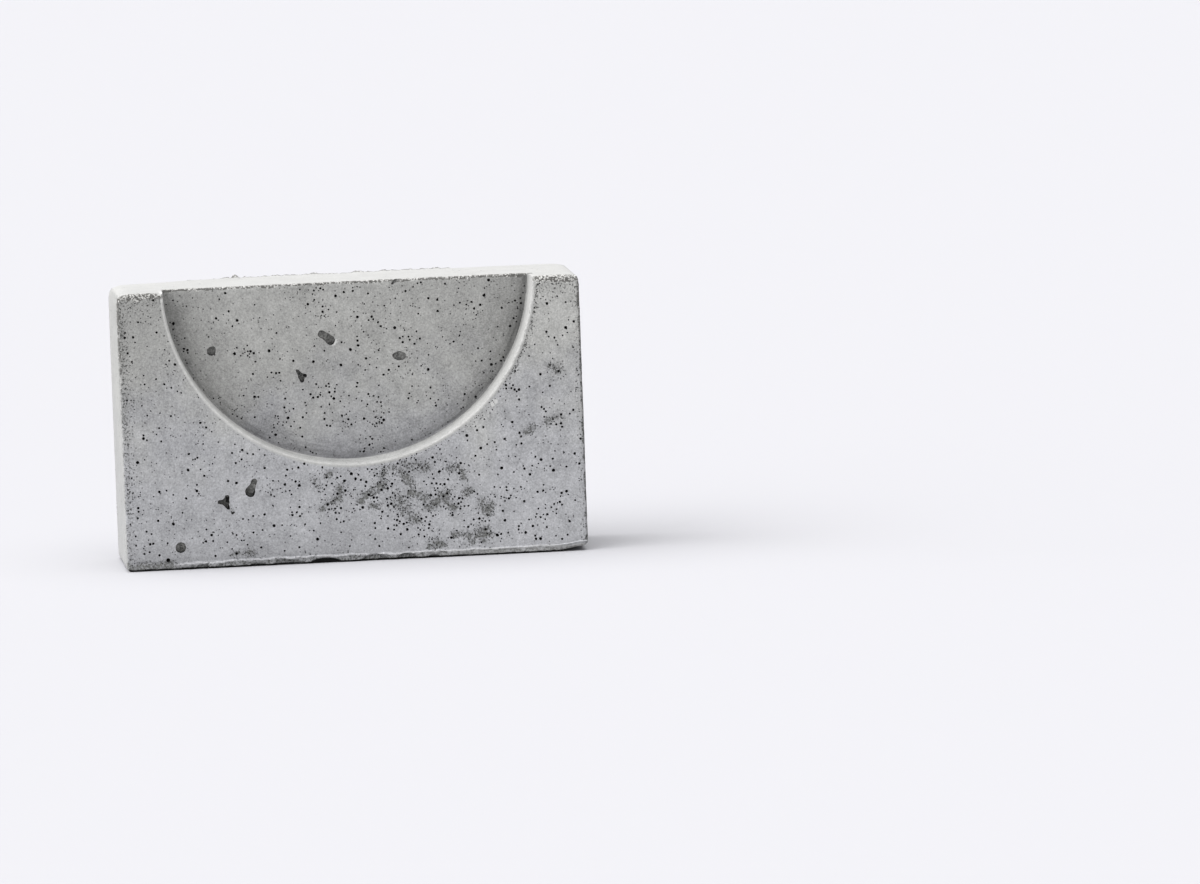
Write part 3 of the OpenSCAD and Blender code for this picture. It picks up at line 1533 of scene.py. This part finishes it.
    def hollow_ground(self, spot: Spot, hollow: Signal) -> Signal:
        """Gives the colour in a large hollow, grainy and as dark as the mark says, which carries
        painted shade.
        """
        grain = (1.0 + (spot.sand + spot.speckle + spot.mottle - 1.5) * 2.0).greater(0.1)
        return spot.g.dimmed(spot.g.dimmed(self.hollow, grain), hollow, 3.6, 0.1)

    def dots(self, spot: Spot, opened: Signal) -> Signal:
        """Gives the finest pores, too small to be cut, as dots of painted shade.

        Args:
            spot: Where the point is.
            opened: How far the skin is missing, which makes them more.

        Returns:
            A share, 1 in a pore.
        """
        away, lot = spot.g.cells(spot.place, 1.35)
        crowd = spot.noise(11.0, 2.0, 0.5, 21.0)
        chosen = (lot + crowd * 1.25 + opened * 0.6 - 1.47).eased(0.0, 0.06)
        return away.eased(0.34, 0.18) * chosen

    def scuffs(self, spot: Spot) -> Signal:
        """Gives the few whitish knocks.

        Args:
            spot: Where the point is.

        Returns:
            A share of whitish colour.
        """
        ragged = (spot.mottle - 0.5) * 3.5
        knocks = [(spot.near(place) + ragged).eased(1.7, 0.9) for place in SCUFFS]
        total = knocks[0]
        for knock in knocks[1:]:
            total = total.greater(knock)
        return total * 0.8

    def with_sand(self, spot: Spot, surface: Signal, skin: Signal, bare: Signal) -> Signal:
        """Lays light and dark sand grains where the skin has crumbled.

        Args:
            spot: Where the point is.
            surface: The colour so far.
            skin: The colour of whole skin.
            bare: How sandy the surface is, from 0 to 1.

        Returns:
            The surface with the grains on it.
        """
        g, mottle = spot.g, spot.mottle
        on_horn = spot.inward.eased(-22.0, -28.0).greater(mottle.eased(0.52, 0.6)) * 0.7 + 0.3
        light = (spot.height + (mottle - 0.5) * 3.0).eased(145.2, 148.2) * on_horn
        light = light * spot.inward.eased(31.0, 28.0)
        warped = g.vector("MULTIPLY_ADD", mottle.output("Color"), (2.2, 2.2, 2.2), spot.place)
        away, kind = g.cells(warped, 0.95)
        grain = (kind + (light - 0.5) * 0.62).eased(0.42, 0.62) * away.eased(0.68, 0.40)
        colour = g.blend(grain, self.sand_dark, self.sand_light)
        rusty = spot.near(RUSTY_PLACE).eased(6.5, 3.0)
        colour = g.blend(rusty * 0.5, colour, self.rust)
        colour = g.blend(0.3 - on_horn * 0.12, colour, skin)
        edge = (bare + (mottle - 0.5) * 0.9 + (spot.sand - 0.5) * 0.9).eased(0.40, 0.54)
        return g.blend(edge * bare.eased(0.08, 0.5), surface, colour)


@dataclass
class DressedBlock:
    """Builds the visible block and marks where its skin is worn or hollow."""

    casting: Casting
    finish: ConcreteFinish = ConcreteFinish()
    sharp: float = 38.0

    def build(self) -> bpy.types.Object:
        """Makes the block's mesh, its marks and its material.

        Returns:
            The finished piece.
        """
        mesh = self.casting.fitted_mesh(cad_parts[NODE])
        self.casting.wear(mesh)
        skin = nearest_finder(mesh)
        pitting = Pitting(self.casting)
        mesh = cut(mesh, pitting.large().mesh())
        mesh = cut(mesh, pitting.pores().mesh())
        self.mark_cuts(mesh, skin)
        self.mark_tones(mesh)
        mesh.materials.clear()
        mesh.materials.append(self.finish.material(self.casting))
        mesh.shade_smooth()
        mesh.set_sharp_from_angle(angle=math.radians(self.sharp))
        mesh.name = PIECE
        return put_in_scene(PIECE, mesh)

    def mark_cuts(self, mesh: bpy.types.Mesh, skin: BVHTree) -> None:
        """Writes which faces lie inside pores and which inside large hollows.

        Args:
            mesh: The cut mesh.
            skin: Finds the worn surface as it was before it was cut.
        """
        places = read_vectors(mesh.polygons, "center")
        inside = np.array([skin.find_nearest(Vector(p))[3] for p in places]) > 0.02 * MM
        centres = places / MM
        shades = np.zeros((len(centres), 4))
        # Red marks the faces inside pores, which are painted near black as shade.
        shades[:, 0] = inside
        shades[:, 3] = 1.0
        for hollow in LARGE_HOLLOWS:
            self.mark_hollow(hollow, centres, inside, shades)
        # Painted shade: the deepest chip in the skirt is black, as the pores are.
        black = BLACK_CHIP.inside(centres) * (centres[:, 1] < self.casting.front + 3.0)
        shades[:, 0] = np.maximum(shades[:, 0], black)
        corners = np.empty(len(mesh.polygons), np.int32)
        mesh.polygons.foreach_get("loop_total", corners)
        write_marks(mesh, CUTS, "CORNER", np.repeat(shades, corners, axis=0))

    def mark_hollow(self, hollow: Hollow, centres: Array, inside: Array, shades: Array) -> None:
        """Writes the shades of one large hollow's faces: deeper hollows and the edge are darker as
        painted shade, and the lower part is darker.

        Args:
            hollow: The hollow.
            centres: The middle of each face.
            inside: Which faces lie under the surface.
            shades: The colours of the faces, which are changed.
        """
        middle = self.casting.place_on(hollow.side, hollow.across, hollow.up)
        aside, inward, upward = (centres - middle).T
        outline = hollow.outline()
        turn = np.arctan2(upward, aside) * (HOLLOW_SIDES / (2.0 * math.pi))
        outward = np.hypot(aside, upward) / outline[turn.astype(int) % HOLLOW_SIDES]
        mine = inside & (outward < 1.15) & (np.abs(inward) < 1.5 * hollow.depth)
        low = smooth_step(0.25, -0.85, upward / outline.max())
        # Painted shade: deeper hollows and the faces at the edge are darker; the lower faces are
        # darker too.
        shade = 0.66 + 0.055 * hollow.depth + 0.1 * smooth_step(0.7, 0.92, outward) + 0.22 * low
        shades[mine, 0] = 0.0
        shades[mine, 1] = shade[mine]
        for right, up, radius in hollow.pits:
            shades[mine & (np.hypot(aside - right, upward - up) < radius), 0] = 1.0

    def mark_tones(self, mesh: bpy.types.Mesh) -> None:
        """Writes how sandy, how open and how pale the surface is at each vertex.

        Args:
            mesh: The cut mesh.
        """
        points = read_vectors(mesh.vertices, "co") / MM
        bare = self.casting.sandy(points)
        opened = self.casting.open_ground(points)
        # Pale: laitance, with painted light on the ends and the pocket's wall and a painted
        # highlight on the rim.
        pale = self.casting.pale(points) * (1.0 - bare)
        write_marks(mesh, TONES, "POINT", np.stack([bare, opened, pale, np.ones_like(bare)], axis=1))


# --- Studio and camera, in metres --------------------------------------------


@dataclass
class Studio:
    """A pale floor without an edge, soft light from above and from the left."""

    floor_radius: float = 40.0
    floor_seen: Colour = (0.497, 0.495, 0.515, 1.0)
    floor_bounce: Colour = (0.36, 0.36, 0.36, 1.0)
    backdrop: Colour = (0.895, 0.90, 0.92, 1.0)
    room: Colour = (0.36, 0.36, 0.37, 1.0)
    overhead: float = 3.7
    from_left: float = 2.65
    softness: float = 90.0

    def seen(self, g: Graph, otherwise: Colour, seen: Colour) -> Signal:
        """Gives one colour to the camera and another to everything else."""
        return g.blend(g.node("ShaderNodeLightPath", output="Is Camera Ray"), otherwise, seen)

    def floor(self) -> None:
        """Makes the floor, which keeps the block's shadow."""
        shape = bmesh.new()
        bmesh.ops.create_circle(shape, cap_ends=True, segments=96, radius=self.floor_radius)
        mesh = bpy.data.meshes.new("floor")
        shape.to_mesh(mesh)
        shape.free()
        made = bpy.data.materials.new("floor_paper")
        made.use_nodes = True
        g = Graph(made.node_tree)
        colour = self.seen(g, self.floor_bounce, self.floor_seen)
        g.finish(Base_Color=colour, Roughness=0.9, Specular_IOR_Level=0.0)
        mesh.materials.append(made)
        put_in_scene("floor", mesh)

    def world(self) -> None:
        """Lights the room evenly and shows the backdrop to the camera."""
        world = bpy.data.worlds.new("room")
        bpy.context.scene.world = world
        world.use_nodes = True
        g = Graph(world.node_tree)
        colour = self.seen(g, self.room, self.backdrop)
        shader = g.node("ShaderNodeBackground", inputs={"Color": colour, "Strength": 1.0})
        g.node("ShaderNodeOutputWorld", inputs={"Surface": shader})

    def lamp(self, name: str, towards: tuple[float, float, float], strength: float) -> None:
        """Adds one distant soft lamp.

        Args:
            name: The lamp's name.
            towards: Direction from the block to the lamp.
            strength: Its strength.
        """
        data = bpy.data.lights.new(name, "SUN")
        data.energy = strength
        data.angle = math.radians(self.softness)
        put_in_scene(name, data).rotation_euler = Vector(towards).to_track_quat("Z", "Y").to_euler()

    def build(self) -> None:
        """Sets up floor, room and lamps."""
        self.floor()
        self.world()
        self.lamp("overhead", (-0.2, -0.12, 1.0), self.overhead)
        self.lamp("left", (-1.0, -0.25, 0.35), self.from_left)


@dataclass
class Viewpoint:
    """The camera, by where it stands and how it is turned, in degrees."""

    place: tuple[float, float, float] = (-0.499, -5.980, 0.709)
    turn: float = 6.07
    tilt: float = 6.21
    roll: float = -2.06
    lens: float = 334.2

    def build(self) -> None:
        """Makes the camera and sets it as the scene's."""
        yaw, pitch, roll = (math.radians(angle) for angle in (self.turn, self.tilt, self.roll))
        level = Vector((math.cos(yaw), -math.sin(yaw), 0.0))
        ahead = Vector((math.sin(yaw), math.cos(yaw), 0.0)) * math.cos(pitch)
        ahead.z = -math.sin(pitch)
        upward = level.cross(ahead)
        right = level * math.cos(roll) + upward * math.sin(roll)
        upward = upward * math.cos(roll) - level * math.sin(roll)
        data = bpy.data.cameras.new("camera")
        data.lens = self.lens
        data.sensor_width = 36.0
        data.clip_end = 100.0
        camera = put_in_scene("camera", data)
        turned = Matrix((right, upward, -ahead)).transposed().to_4x4()
        camera.matrix_world = Matrix.Translation(self.place) @ turned
        bpy.context.scene.camera = camera


def main() -> None:
    """Builds the camera, the studio and the dressed block."""
    Viewpoint().build()
    Studio().build()
    bpy.context.scene.view_settings.view_transform = "Standard"
    low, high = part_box(NODE)
    piece = DressedBlock(Casting(low, high)).build()
    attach(piece, "root")
    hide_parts(NODE)
    triangles = sum(len(p.vertices) - 2 for p in piece.data.polygons)
    log.info("%s: %d triangles", piece.name, triangles)


if __name__ == "__main__":
    main()
